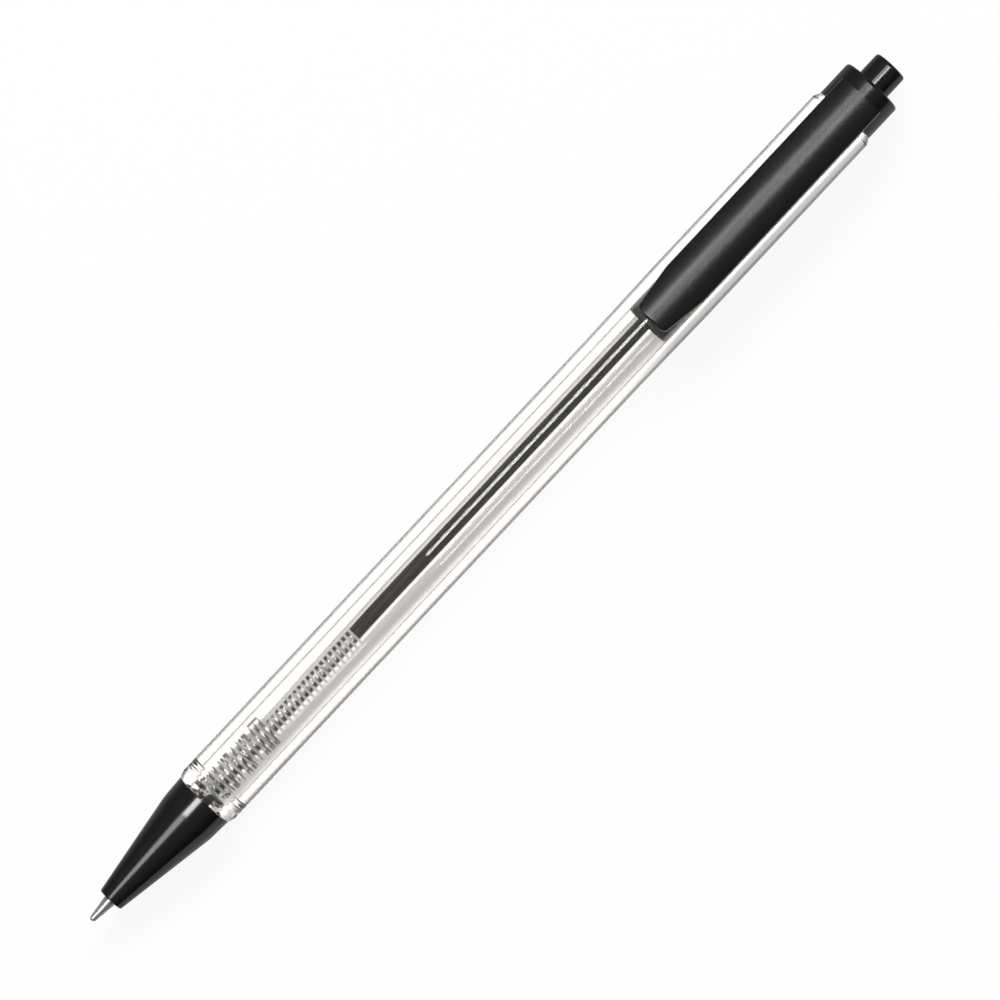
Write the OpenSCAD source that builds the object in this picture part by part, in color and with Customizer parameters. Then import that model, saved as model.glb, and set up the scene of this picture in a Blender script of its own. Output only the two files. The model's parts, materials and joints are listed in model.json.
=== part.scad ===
// Pushbutton ballpoint pen with a clear barrel, lying clip upwards with its tip towards -X.
// All sizes are in millimetres. Every piece is laid out along the pen's axis by its distance s
// from the writing end, with the tip out and the button in.

/* [Nose cone] */
// How far the metal tip stands out of the nose cone
tip_out = 3.4; // [2.6:0.1:4.2]
// Length of the nose cone
nose_len = 16.5; // [14:0.5:19]
// Diameter of the nose cone at its mouth
nose_mouth_d = 3.3; // [3.1:0.05:3.6]
// Diameter of the nose cone where its taper ends
nose_shoulder_d = 7.55; // [7.2:0.05:7.8]
// Diameter of the nose cone where it meets the barrel
nose_base_d = 7.85; // [7.5:0.05:8.2]
// Length of the nearly straight band behind the taper
nose_band_len = 3; // [2:0.25:4]
// Rounding of the nose cone's mouth
nose_round = 0.2; // [0.1:0.05:0.3]
// Depth of the spring's seat behind the mouth
spring_seat_depth = 6.6; // [6:0.1:7.2]

/* [Barrel] */
// Length of the barrel that shows, from the nose cone to the crown
barrel_len = 112.7; // [105:0.1:120]
// Outside diameter of the grip and the plain stretch
barrel_d = 8.5; // [8.2:0.05:9]
// Outside diameter of the stretch under the clip
barrel_top_d = 8.78; // [8.5:0.02:9.2]
// Diameter of the barrel's bore
barrel_bore_d = 6.1; // [5.9:0.05:6.3]
// Length of the chamfer at the lower end
barrel_chamfer_len = 0.9; // [0.5:0.1:1.5]
// Length of the spigot that the nose cone is pushed onto
spigot_len = 5; // [4:0.25:6]
// Wall of that spigot
spigot_wall = 0.7; // [0.6:0.05:0.8]
// Length of the plain stretch above the grip
plain_len = 45; // [40:0.5:50]
// Length over which the barrel widens towards the clip
flare_len = 12; // [6:0.5:16]
// Length of the bevel at the upper rim
rim_bevel_len = 0.8; // [0.4:0.1:1.2]
// Drop of that bevel, measured on the radius
rim_bevel_drop = 0.45; // [0.2:0.05:0.7]

/* [Grip] */
// Number of grooves around the grip
grip_grooves = 33; // [10:1:38]
// Distance from one groove to the next
grip_pitch = 0.785; // [0.6:0.005:0.9]
// Depth of the grooves
grip_depth = 0.14; // [0.06:0.01:0.25]
// Plain margin between the chamfer and the first groove
grip_margin = 0.2; // [0.1:0.05:0.6]

/* [Crown and clip] */
// Length of the crown above the barrel
crown_len = 4.9; // [4.2:0.1:6]
// Diameter of the crown
crown_d = 8; // [7.6:0.05:8.4]
// Rounding of the crown's upper edge
crown_round = 0.4; // [0.2:0.05:0.6]
// Thickness of the crown's roof, which the button passes through
crown_roof = 1.9; // [1.4:0.1:2.4]
// Length of the clip
clip_len = 36.9; // [30:0.1:42]
// Width of the clip
clip_w = 6.15; // [5.4:0.05:6.6]
// Width of the clip at its free end
clip_tip_w = 4.7; // [4:0.05:5.2]
// Length over which the clip narrows to its free end
clip_taper_len = 7; // [4:0.5:12]
// Rounding of the clip's corners at its free end
clip_corner_r = 0.7; // [0.5:0.1:1.8]
// Thickness of the clip
clip_t = 1.2; // [0.9:0.05:1.5]
// Gap between the clip and the barrel
clip_gap = 0.9; // [0.7:0.05:1.3]
// Length of the clip's root on the crown
clip_root_len = 2.7; // [2.2:0.1:3.4]
// Radius of the ridge that holds paper or cloth under the free end
clip_ridge_r = 0.9; // [0.7:0.05:1.1]
// Distance of that ridge from the free end
clip_ridge_at = 2.6; // [2:0.1:5]

/* [Push button] */
// How far the button stands out of the crown with the tip out
button_out = 3.3; // [2.6:0.1:4.2]
// Diameter of the button
button_d = 4.44; // [4.2:0.02:4.6]
// Rounding of the button's upper edge
button_round = 0.35; // [0.2:0.05:0.6]
// Height of the collar that keeps the button in the crown, measured on the radius
collar_h = 0.2; // [0.1:0.02:0.24]
// Length of that collar
collar_len = 1; // [0.6:0.1:1.6]
// Depth of the button's socket for the plunger
button_socket_len = 6; // [4:0.5:8]

/* [Click mechanism] */
// Travel from tip out to tip in
click_travel = 5; // [4:0.1:6]
// Further travel when the button is pressed past the click
press_travel = 0.8; // [0.4:0.1:1.2]
// How far the sleeve reaches down into the barrel
sleeve_reach = 34.7; // [33:0.1:40]
// Number of guide ribs inside the sleeve
rib_count = 4; // [3:1:5]
// Length of the guide ribs
rib_len = 15.5; // [14:0.5:17]
// Height of the guide ribs
rib_h = 0.5; // [0.35:0.05:0.6]
// Width of the guide ribs
rib_w = 1.5; // [1.2:0.05:1.7]
// Rise of the slanted rib ends and rotor fins
cam_rise = 0.5; // [0.3:0.05:0.7]
// Length of the rotor's fins
fin_len = 2.4; // [1.6:0.1:3]
// Length of the rotor's skirt, which takes the end of the refill
skirt_len = 4; // [3:0.25:5]
// Length of the rotor's neck between its fins and its teeth
neck_len = 0.7; // [0.5:0.1:1]
// Height of the teeth on the rotor and the plunger
tooth_h = 0.45; // [0.3:0.05:0.6]
// Diameter of the pin that centres the rotor in the plunger
rotor_pin_d = 1.8; // [1.4:0.1:2]
// Length of that pin beyond the teeth
rotor_pin_len = 4; // [3:0.25:5]
// Length of the plunger's guide fins
plunger_fin_len = 6; // [4:0.5:8]

/* [Refill] */
// Diameter of the ink tube
tube_d = 2.82; // [2.6:0.02:3]
// Bore of the ink tube
tube_bore_d = 1.2; // [1:0.05:1.6]
// Empty length of the tube above the ink
ink_headspace = 7; // [3:0.5:20]
// Distance across the two crimped ears that take the spring
ear_span = 4.3; // [4:0.05:4.7]
// Length of the ears
ear_len = 2.2; // [1.5:0.1:3]
// Thickness of the ears
ear_t = 0.7; // [0.5:0.05:1]
// Diameter of the metal tip's shank
tip_shank_d = 2.3; // [2.1:0.02:2.4]
// Length of the metal tip's cone
tip_cone_len = 6; // [5:0.1:6.6]
// Length of the tip's spigot in the ink tube
tip_spigot_len = 4; // [3:0.25:5]
// Diameter of the writing ball
ball_d = 0.7; // [0.5:0.05:1]
// How far the ball stands out of its seat
ball_out = 0.23; // [0.15:0.01:0.25]
// Thickness of the lip around the ball
ball_lip = 0.05; // [0.03:0.01:0.1]

/* [Return spring] */
// Length of the spring with the tip out
spring_len = 21.6; // [19:0.1:24]
// Outside diameter of the spring
spring_d = 4.1; // [3.9:0.02:4.2]
// Diameter of the spring's wire
wire_d = 0.32; // [0.26:0.01:0.36]
// Number of turns
spring_turns = 21; // [16:1:22]
// Number of closer turns at each end
spring_end_turns = 2; // [1:0.5:3]
// Clear gap between those closer turns
spring_end_gap = 0.46; // [0.42:0.01:0.6]

/* [Clearances] */
// Gap on the radius between pieces that are pushed together
fit_clear = 0.03; // [0.01:0.01:0.05]
// Gap on the radius between pieces that slide or turn
slide_clear = 0.08; // [0.05:0.01:0.1]
// Gap on the radius around the rotor's socket and the tip's shank
turn_clear = 0.05; // [0.03:0.01:0.08]
// Gap along the axis between faces that seat
seat_clear = 0.02; // [0.01:0.01:0.05]
// Gap along the axis between faces that pass or stop
end_clear = 0.12; // [0.1:0.01:0.3]
// Gap on the radius around the spring
spring_clear = 0.2; // [0.1:0.02:0.25]
// Gap between the clip's ridge and the barrel
ridge_clear = 0.05; // [0.02:0.01:0.1]
// Gap on the radius between the ball and its seat
ball_clear = 0.01; // [0.01:0.005:0.02]

/* [Hidden] */
$fn = 72;
// Overlap that keeps cuts and joins clean
over = 0.5;

// Stations of the housing, as distances from the writing end
s_mouth = tip_out;
s_shoulder = s_mouth + nose_len - nose_band_len;
s_barrel = s_mouth + nose_len;
s_spigot = s_barrel - spigot_len;
s_spring_seat = s_mouth + spring_seat_depth;
s_grip = s_barrel + barrel_chamfer_len + grip_margin;
s_plain = s_grip + grip_grooves * grip_pitch;
s_flare = s_plain + plain_len;
s_crown = s_barrel + barrel_len;
s_crown_top = s_crown + crown_len;
s_roof = s_crown_top - crown_roof;
s_clip_top = s_crown + clip_root_len;
s_clip_end = s_clip_top - clip_len;
s_sleeve = s_crown - sleeve_reach;
s_button_top = s_crown_top + button_out;

// Stations of the click mechanism, hung from the crown's roof
s_collar_top = s_roof - end_clear - click_travel;
s_collar = s_collar_top - collar_len;
s_rib_top = s_collar - press_travel - end_clear;
s_rib = s_rib_top - rib_len;
s_fin_top = s_rib - end_clear;
s_fin = s_fin_top - fin_len;
s_rotor = s_fin - skirt_len;
s_rotor_top = s_fin_top + neck_len;
s_plunger = s_rotor_top + end_clear;
s_plunger_fin = s_plunger + rotor_pin_len;

// Stations of the refill and the spring
s_tube = s_spring_seat + press_travel + end_clear;
s_tube_top = s_fin - seat_clear;
s_spring_top = s_spring_seat + spring_len;
s_ear = s_spring_top + seat_clear;
s_ink = s_tube + tip_spigot_len;
s_ink_top = s_tube_top - ink_headspace;

// Diameters that follow from what fits inside what
tip_hole_d = tip_shank_d + 2 * turn_clear;
chamber_d = spring_d + 2 * spring_clear;
spigot_d = chamber_d + 2 * spigot_wall;
sleeve_d = barrel_bore_d - 2 * fit_clear;
collar_d = button_d + 2 * collar_h;
sleeve_bore_d = collar_d + 2 * slide_clear;
button_hole_d = button_d + 2 * slide_clear;
rib_bore_d = sleeve_bore_d - 2 * rib_h;
rotor_d = rib_bore_d - 2 * slide_clear;
fin_d = sleeve_bore_d - 2 * slide_clear;
socket_d = tube_d + 2 * turn_clear;
pin_bore_d = rotor_pin_d + 2 * slide_clear;
stem_d = (rotor_d + pin_bore_d) / 2;
groove_half_angle = 180 / rib_count - asin(rib_w / rib_bore_d);
fin_w = rib_bore_d * sin(groove_half_angle) - 2 * slide_clear;
spring_mean_r = (spring_d - wire_d) / 2;
clip_inner_r = barrel_top_d / 2 + clip_gap;
clip_outer_r = clip_inner_r + clip_t;

// The pen lies on its widest stretch, with its length centred on the origin
axis_z = max(barrel_d, barrel_top_d) / 2;
x_start = -s_button_top / 2;

// Places what is drawn along X, by distance from the writing end
module along_pen() {
    translate([x_start, 0, axis_z]) children();
}

// Turns what is drawn along Z so that it lies along the pen
module on_axis() {
    along_pen() rotate([0, 90, 0]) children();
}

// A round bar, or a round cut, between two stations
module bar(d, s0, s1) {
    translate([0, 0, s0]) cylinder(d = d, h = s1 - s0);
}

// A prism that runs outwards from the axis, with its outline given across and along the pen
module spoke(outline, reach) {
    rotate([90, 0, 90]) linear_extrude(reach) polygon(outline);
}

// Repeats a shape around the pen's axis, from a given first turn
module around(count, turn = 0) {
    for (i = [0 : count - 1]) rotate([0, 0, turn + 360 * i / count]) children();
}

// Points of a quarter round in a lathe profile, from its outer side to its end face
function quarter_round(r, s, round, steps = 6) = [
    for (i = [0 : steps])
        [r - round * (1 - cos(90 * i / steps)), s - round * (1 - sin(90 * i / steps))]
];

// Grooves of the grip as one wave along the barrel
wave_steps = 6;
function grip_wave() = [
    for (i = [0 : grip_grooves * wave_steps]) [
        barrel_d / 2 - grip_depth * (1 - cos(360 * i / wave_steps)) / 2,
        s_grip + i * grip_pitch / wave_steps
    ]
];

// Clear barrel: spigot, grooved grip, plain stretch and flared upper end, bored for the sleeve
module barrel() {
    outside = concat(
        [[spigot_d / 2, s_spigot], [spigot_d / 2, s_barrel], [nose_base_d / 2, s_barrel]],
        [[barrel_d / 2, s_barrel + barrel_chamfer_len]],
        grip_wave(),
        [[barrel_d / 2, s_flare], [barrel_top_d / 2, s_flare + flare_len]],
        [[barrel_top_d / 2, s_crown - rim_bevel_len], [barrel_top_d / 2 - rim_bevel_drop, s_crown]]
    );
    inside = [
        [barrel_bore_d / 2, s_crown],
        [barrel_bore_d / 2, s_barrel + barrel_chamfer_len],
        [chamber_d / 2, s_barrel],
        [chamber_d / 2, s_spigot]
    ];
    color([0.86, 0.9, 0.92, 0.4]) on_axis() rotate_extrude() polygon(concat(outside, inside));
}

// Nose cone: straight taper with a rounded mouth, stepped inside for the tip, spring and spigot
module nose_cone() {
    spigot_bore_d = spigot_d + 2 * fit_clear;
    mouth = [
        for (p = quarter_round(nose_mouth_d / 2, 0, nose_round)) [p[0], s_mouth - p[1]]
    ];
    outside = [[nose_base_d / 2, s_barrel - seat_clear], [nose_shoulder_d / 2, s_shoulder]];
    inside = [
        [tip_hole_d / 2, s_mouth],
        [tip_hole_d / 2, s_spring_seat],
        [chamber_d / 2, s_spring_seat],
        [chamber_d / 2, s_spigot - seat_clear],
        [spigot_bore_d / 2, s_spigot - seat_clear],
        [spigot_bore_d / 2, s_barrel - seat_clear]
    ];
    color([0.06, 0.06, 0.065]) on_axis() rotate_extrude() polygon(concat(outside, mouth, inside));
}

// Plan of the clip, seen from above, with rounded corners at its free end
module clip_plan() {
    steps = 6;
    centre_y = clip_tip_w / 2 - clip_corner_r;
    corner = [
        for (i = [0 : steps]) [
            s_clip_end + clip_corner_r * (1 - sin(90 * i / steps)),
            centre_y + clip_corner_r * cos(90 * i / steps)
        ]
    ];
    side = concat([[s_clip_top, clip_w / 2], [s_clip_end + clip_taper_len, clip_w / 2]], corner);
    far_side = [for (i = [len(side) - 1 : -1 : 0]) [side[i][0], -side[i][1]]];
    polygon(concat(side, far_side));
}

// Clip: an arched strip over the barrel, its root on the crown and a ridge under its free end
module clip_arm() {
    ridge_z = barrel_top_d / 2 + ridge_clear + clip_ridge_r;
    intersection() {
        linear_extrude(clip_outer_r + over) clip_plan();
        rotate([0, 90, 0]) bar(2 * clip_outer_r, s_clip_end - over, s_clip_top + over);
        union() {
            difference() {
                rotate([0, 90, 0]) bar(2 * clip_outer_r + over, s_clip_end - over, s_clip_top);
                rotate([0, 90, 0]) bar(2 * clip_inner_r, s_clip_end - 2 * over, s_crown + seat_clear);
            }
            translate([s_clip_end + clip_ridge_at, 0, ridge_z]) rotate([90, 0, 0])
                cylinder(r = clip_ridge_r, h = clip_tip_w - clip_corner_r, center = true);
        }
    }
}

// Crown and clip in one moulding, bored for the sleeve and the button
module clip_crown() {
    body = concat([[0, s_crown + seat_clear], [crown_d / 2, s_crown + seat_clear]],
        quarter_round(crown_d / 2, s_crown_top, crown_round), [[0, s_crown_top]]);
    color([0.13, 0.13, 0.135]) along_pen() difference() {
        union() {
            rotate([0, 90, 0]) rotate_extrude() polygon(body);
            clip_arm();
        }
        rotate([0, 90, 0]) bar(barrel_bore_d, s_crown - over, s_roof);
        rotate([0, 90, 0]) bar(button_hole_d, s_crown, s_crown_top + over);
    }
}

// Sleeve of the click mechanism, with guide ribs whose lower ends are slanted
module cam_sleeve() {
    rib = [
        [-rib_w / 2, s_rib], [rib_w / 2, s_rib + cam_rise],
        [rib_w / 2, s_rib_top], [-rib_w / 2, s_rib_top]
    ];
    color([0.09, 0.09, 0.1]) on_axis() {
        difference() {
            bar(sleeve_d, s_sleeve, s_roof - seat_clear);
            difference() {
                bar(sleeve_bore_d, s_sleeve - over, s_roof + over);
                difference() {
                    around(rib_count, 180 / rib_count) spoke(rib, sleeve_d / 2);
                    bar(rib_bore_d, s_rib - over, s_rib_top + over);
                }
            }
        }
    }
}

// Push button: a cap with a collar that stops under the crown's roof
module push_button() {
    cap = concat(
        [[0, s_collar], [collar_d / 2, s_collar]],
        [[collar_d / 2, s_collar_top], [button_d / 2, s_collar_top]],
        quarter_round(button_d / 2, s_button_top, button_round),
        [[0, s_button_top]]
    );
    color([0.05, 0.05, 0.055]) on_axis() difference() {
        rotate_extrude() polygon(cap);
        bar(stem_d + 2 * fit_clear, s_collar - over, s_collar + button_socket_len);
    }
}

// Notches that cut a ring of teeth into the end of a bar, carried past the tips of the teeth
module tooth_notches(s_tip, s_root, turn) {
    past = 1 + over / tooth_h;
    half_w = rotor_d * sin(90 / rib_count) / 2 * past;
    s_past = s_root + (s_tip - s_root) * past;
    notch = [[-half_w, s_past], [0, s_root], [half_w, s_past]];
    around(2 * rib_count, turn) spoke(notch, rotor_d);
}

// Plunger under the button: toothed end, guide fins that run between the ribs, stem in the button
module cam_plunger() {
    fin = [
        [-fin_w / 2, s_plunger_fin], [fin_w / 2, s_plunger_fin],
        [fin_w / 2, s_plunger_fin + plunger_fin_len], [-fin_w / 2, s_plunger_fin + plunger_fin_len]
    ];
    color([0.9, 0.9, 0.88]) on_axis() difference() {
        union() {
            bar(rotor_d, s_plunger, s_collar - seat_clear);
            bar(stem_d, s_collar - over, s_collar + button_socket_len - seat_clear);
            intersection() {
                around(rib_count) spoke(fin, fin_d);
                bar(fin_d, s_plunger_fin - over, s_collar);
            }
        }
        tooth_notches(s_plunger, s_plunger + tooth_h, 90 / rib_count);
        bar(pin_bore_d, s_plunger - over, s_plunger + rotor_pin_len + end_clear);
    }
}

// Rotor: skirt on the refill, slanted fins that pass or catch the ribs, teeth, centring pin
module cam_rotor() {
    fin = [
        [-fin_w / 2, s_fin], [fin_w / 2, s_fin],
        [fin_w / 2, s_fin_top], [-fin_w / 2, s_fin_top - cam_rise]
    ];
    color([0.85, 0.86, 0.84]) on_axis() difference() {
        union() {
            difference() {
                bar(rotor_d, s_rotor, s_rotor_top);
                tooth_notches(s_rotor_top, s_rotor_top - tooth_h, 0);
            }
            bar(rotor_pin_d, s_fin, s_rotor_top + rotor_pin_len);
            intersection() {
                around(rib_count) spoke(fin, fin_d);
                bar(fin_d, s_fin - over, s_rotor_top);
            }
        }
        bar(socket_d, s_rotor - over, s_fin);
    }
}

// Ink tube with two crimped ears above the spring, one on each side of the pen
module refill_tube() {
    ear = [
        [s_ear, 0], [s_ear, ear_span / 2], [s_ear + ear_len / 3, ear_span / 2],
        [s_ear + ear_len, tube_d / 2 - fit_clear], [s_ear + ear_len, 0]
    ];
    color([0.9, 0.92, 0.93, 0.6]) along_pen() difference() {
        union() {
            rotate([0, 90, 0]) bar(tube_d, s_tube, s_tube_top);
            for (side = [0, 180])
                rotate([side, 0, 0]) linear_extrude(ear_t, center = true) polygon(ear);
        }
        rotate([0, 90, 0]) bar(tube_bore_d, s_tube - over, s_tube_top + over);
    }
}

// Ink, which fills the tube's bore above the tip
module ink_column() {
    color([0.03, 0.03, 0.035]) on_axis() bar(tube_bore_d, s_ink, s_ink_top);
}

// Metal tip: cone with the ball's seat, shank in the nose cone's hole, spigot in the ink tube
module pen_tip() {
    seat_r = ball_d / 2 + ball_clear;
    mouth_r = sqrt(seat_r * seat_r - pow(ball_d / 2 - ball_out, 2));
    profile = [
        [0, ball_out], [mouth_r + ball_lip, ball_out], [tip_shank_d / 2, tip_cone_len],
        [tip_shank_d / 2, s_tube - seat_clear], [tube_bore_d / 2, s_tube - seat_clear],
        [tube_bore_d / 2, s_ink - seat_clear], [0, s_ink - seat_clear]
    ];
    color([0.75, 0.75, 0.74]) on_axis() difference() {
        rotate_extrude() polygon(profile);
        translate([0, 0, ball_d / 2]) sphere(r = seat_r);
    }
}

// Ball that rolls in the tip's seat
module writing_ball() {
    color([0.6, 0.6, 0.62]) on_axis() translate([0, 0, ball_d / 2]) sphere(d = ball_d);
}

// Centre line of the spring's wire: closer turns at both ends, open turns between
curl_rings = 8;
wire_sides = 6;
end_pitch = wire_d + spring_end_gap;
wire_run = spring_len - wire_d - 2 * seat_clear;
open_pitch = (wire_run - 2 * spring_end_turns * end_pitch) / (spring_turns - 2 * spring_end_turns);
function wire_s(t) = s_spring_seat + seat_clear + wire_d / 2
    + end_pitch * (min(t, spring_end_turns) + max(t - spring_turns + spring_end_turns, 0))
    + open_pitch * max(min(t, spring_turns - spring_end_turns) - spring_end_turns, 0);
function wire_point(t) = [spring_mean_r * cos(360 * t), spring_mean_r * sin(360 * t), wire_s(t)];
wire_count = spring_turns * curl_rings;
wire_line = [for (i = [0 : wire_count]) wire_point(i / curl_rings)];

// Least gap of the spring to itself, measured between points at least half a turn apart
wire_gap = min([
    for (i = [0 : wire_count]) for (j = [i + curl_rings / 2 : 1 : wire_count])
        norm(wire_line[i] - wire_line[j])
]) - wire_d;
echo(spring_least_gap_to_itself_mm = wire_gap);

// Return spring as one unbroken wire
module return_spring() {
    points = [
        for (i = [0 : wire_count]) for (k = [0 : wire_sides - 1])
            let (
                turn = 360 * i / curl_rings,
                side = 360 * k / wire_sides,
                out = spring_mean_r + wire_d / 2 * cos(side)
            ) [out * cos(turn), out * sin(turn), wire_line[i][2] + wire_d / 2 * sin(side)]
    ];
    skin = [
        for (i = [0 : wire_count - 1]) for (k = [0 : wire_sides - 1])
            let (a = i * wire_sides + k, b = i * wire_sides + (k + 1) % wire_sides, up = wire_sides)
                each [[a, a + up, b], [b, a + up, b + up]]
    ];
    last = wire_count * wire_sides;
    start_cap = [for (k = [1 : wire_sides - 2]) [0, k, k + 1]];
    end_cap = [for (k = [1 : wire_sides - 2]) [last, last + k + 1, last + k]];
    color([0.72, 0.72, 0.7]) on_axis() polyhedron(points, concat(skin, start_cap, end_cap));
}

barrel();
nose_cone();
clip_crown();
cam_sleeve();
push_button();
cam_plunger();
cam_rotor();
return_spring();
refill_tube();
ink_column();
pen_tip();
writing_ball();
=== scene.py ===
# %% [markdown]
# # A clear pushbutton ballpoint pen
# The pen lies on a white table with its clip upwards and its tip towards -X. Its construction is already
# solid geometry at real size, so this lesson only dresses it: fine meshes for what shows, finishes made
# from nodes, a camera and studio light. Blender counts in metres; the pen's own sizes are written in
# millimetres and turned into metres where a point is made.

# %% Load the pen's solids
import json
import math

import bmesh
import bpy
from mathutils import Matrix, Vector


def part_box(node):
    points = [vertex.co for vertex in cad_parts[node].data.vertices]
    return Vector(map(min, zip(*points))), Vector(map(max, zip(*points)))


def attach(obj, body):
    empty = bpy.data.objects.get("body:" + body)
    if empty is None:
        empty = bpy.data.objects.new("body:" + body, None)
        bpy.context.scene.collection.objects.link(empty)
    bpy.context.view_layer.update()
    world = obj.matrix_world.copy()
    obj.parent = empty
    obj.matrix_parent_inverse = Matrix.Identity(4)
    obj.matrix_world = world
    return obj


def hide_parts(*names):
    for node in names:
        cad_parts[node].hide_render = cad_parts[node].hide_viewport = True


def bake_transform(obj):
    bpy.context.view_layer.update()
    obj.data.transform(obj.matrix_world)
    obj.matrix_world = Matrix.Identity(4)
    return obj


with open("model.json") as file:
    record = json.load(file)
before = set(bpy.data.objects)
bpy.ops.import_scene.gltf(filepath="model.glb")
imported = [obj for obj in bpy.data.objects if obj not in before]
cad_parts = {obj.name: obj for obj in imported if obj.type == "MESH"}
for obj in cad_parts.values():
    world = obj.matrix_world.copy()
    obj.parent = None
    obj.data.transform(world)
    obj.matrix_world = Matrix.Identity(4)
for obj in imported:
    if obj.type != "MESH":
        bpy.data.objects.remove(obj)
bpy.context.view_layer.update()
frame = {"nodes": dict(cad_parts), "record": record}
print("solids:", ", ".join(sorted(frame["nodes"])))

# %% [markdown]
# ## Where things are
# A pen is turned work, so every place on it is a distance from the writing end and a radius from the axis.
# Reading both from the solids' boxes keeps the looks true to the construction when a size changes there.

# %% Stations along the pen, in millimetres from the writing end
MM = 0.001
ball_low, ball_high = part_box("writing_ball")
TIP_X = ball_low.x
AXIS_Z = ball_low.z + (ball_high.z - ball_low.z) / 2


def span(node):
    """Stations in millimetres at which a solid starts and ends."""
    low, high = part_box(node)
    return (low.x - TIP_X) / MM, (high.x - TIP_X) / MM


def half_sizes(node):
    """Half a solid's width and half its height, in millimetres."""
    low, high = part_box(node)
    return (high.y - low.y) / 2 / MM, (high.z - low.z) / 2 / MM


def widest(node):
    """Largest radius of a turned solid, in millimetres."""
    return max(half_sizes(node))


NOSE_START, NOSE_END = span("nose_cone")
SPIGOT_START, BARREL_END = span("barrel")
CLIP_START, CROWN_END = span("clip_crown")
SLEEVE_START, SLEEVE_END = span("cam_sleeve")
COLLAR_START, BUTTON_END = span("push_button")
TUBE_START, TUBE_END = span("refill_tube")
INK_START, INK_END = span("ink_column")
TIP_START, TIP_END = span("pen_tip")
SPRING_START, SPRING_END = span("return_spring")
print(f"writing end at x = {TIP_X / MM:.2f} mm, axis {AXIS_Z / MM:.2f} mm above the table")

# %% [markdown]
# ## Turning
# The barrel, nose cone, button, tip, tube and ink are all surfaces of revolution. A lathe helper that takes
# an outline of stations and radii does them all. Moulded and turned edges are never knife sharp, so a second
# helper rounds each corner of an outline with a short arc, which is what catches the light along an edge.
# Small edges take their rounding from a graded series, as from a toolmaker's radius gauge.

# %% Outline helpers
ARC_STEPS = 4
MOST_OF_RUN = 0.45
LONG_RUN, GUARD = 1.2, 0.05
ALMOST_ZERO = 1e-6
FINE, CRISP, EDGE, EASED, SOFT, BLUNT = 0.05, 0.06, 0.08, 0.1, 0.12, 0.15


def rounded(corners):
    """Outline through (station, radius, rounding) corners, each rounded by an arc."""
    points = []
    for i, (s, r, rounding) in enumerate(corners):
        here = Vector((s, r))
        back = Vector(corners[i - 1][:2]) - here
        ahead = Vector(corners[(i + 1) % len(corners)][:2]) - here
        if rounding <= 0 or min(back.length, ahead.length) < ALMOST_ZERO:
            points.append((s, r))
            continue
        half = back.angle(ahead) / 2
        reach = min(rounding / math.tan(half), MOST_OF_RUN * back.length, MOST_OF_RUN * ahead.length)
        a, b = here + back.normalized() * reach, here + ahead.normalized() * reach
        for k in range(ARC_STEPS + 1):
            t = k / ARC_STEPS
            p = a * (1 - t) ** 2 + here * 2 * t * (1 - t) + b * t ** 2
            points.append((p.x, p.y))
    return points


def guarded(outline):
    """The outline with a point near both ends of every long run, which keeps its shading straight."""
    points = []
    for start, end in zip(outline, outline[1:] + outline[:1]):
        points.append(start)
        run = Vector(end) - Vector(start)
        if run.length > LONG_RUN and min(start[1], end[1]) > ALMOST_ZERO:
            step = run.normalized() * GUARD
            points += [tuple(Vector(start) + step), tuple(Vector(end) - step)]
    return points


print("roundings of small edges in mm:", FINE, CRISP, EDGE, EASED, SOFT, BLUNT)

# %% Mesh and lathe helpers
LATHE_SIDES = 144
SHARP_ANGLE = math.radians(38)


def on_pen(s, r, turn, aside=0.0):
    """Point at a station, a radius and a turn about the axis, measured from straight up."""
    return Vector((TIP_X + s * MM, aside * MM + r * MM * math.sin(turn), AXIS_Z + r * MM * math.cos(turn)))


def shade(mesh):
    """Smooth faces with crisp edges."""
    mesh.shade_smooth()
    mesh.set_sharp_from_angle(angle=SHARP_ANGLE)


def smooth_object(name, mesh_maker):
    """Object whose mesh is filled by mesh_maker(bmesh), with smooth faces and crisp edges."""
    bm = bmesh.new()
    mesh_maker(bm)
    bmesh.ops.recalc_face_normals(bm, faces=bm.faces)
    mesh = bpy.data.meshes.new(name)
    bm.to_mesh(mesh)
    bm.free()
    shade(mesh)
    piece = bpy.data.objects.new(name, mesh)
    bpy.context.scene.collection.objects.link(piece)
    return piece


def skin_rings(bm, rings, closed):
    """Faces between neighbouring rings of vertices; a ring of one vertex is a point on the axis."""
    pairs = list(zip(rings, rings[1:])) + ([(rings[-1], rings[0])] if closed else [])
    for a, b in pairs:
        count = max(len(a), len(b))
        if count == 1:
            continue
        for i in range(count):
            j = (i + 1) % count
            corners = [a[i % len(a)], a[j % len(a)], b[j % len(b)], b[i % len(b)]]
            bm.faces.new(list(dict.fromkeys(corners)))


def skin_bar(bm, rings):
    """Faces along a row of rings, with both ends closed."""
    skin_rings(bm, rings, closed=False)
    bm.faces.new(rings[0])
    bm.faces.new(list(reversed(rings[-1])))


def lathe(name, outline, aside=lambda s: 0.0, sides=LATHE_SIDES):
    """Turned piece from a closed outline of (station, radius) points; aside bends it across the pen."""
    def fill(bm):
        rings = []
        for s, r in guarded(outline):
            turns = [math.tau * i / sides for i in range(sides)] if r > ALMOST_ZERO else [0.0]
            rings.append([bm.verts.new(on_pen(s, r, turn, aside(s))) for turn in turns])
        skin_rings(bm, rings, closed=True)
    return smooth_object(name, fill)


print(f"lathe: {LATHE_SIDES} sides, edges sharp above {math.degrees(SHARP_ANGLE):.0f} degrees")

# %% [markdown]
# ## Shared surface effects
# Plastic from a mould is never one flat colour: it has a faint mottle, a shine that varies from place to
# place and a very fine texture. Drawn or turned metal has lines, and so has extruded tube. Several finishes
# need these, so each effect is a node group with named sockets that is built once and placed with other
# values each time.


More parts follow.
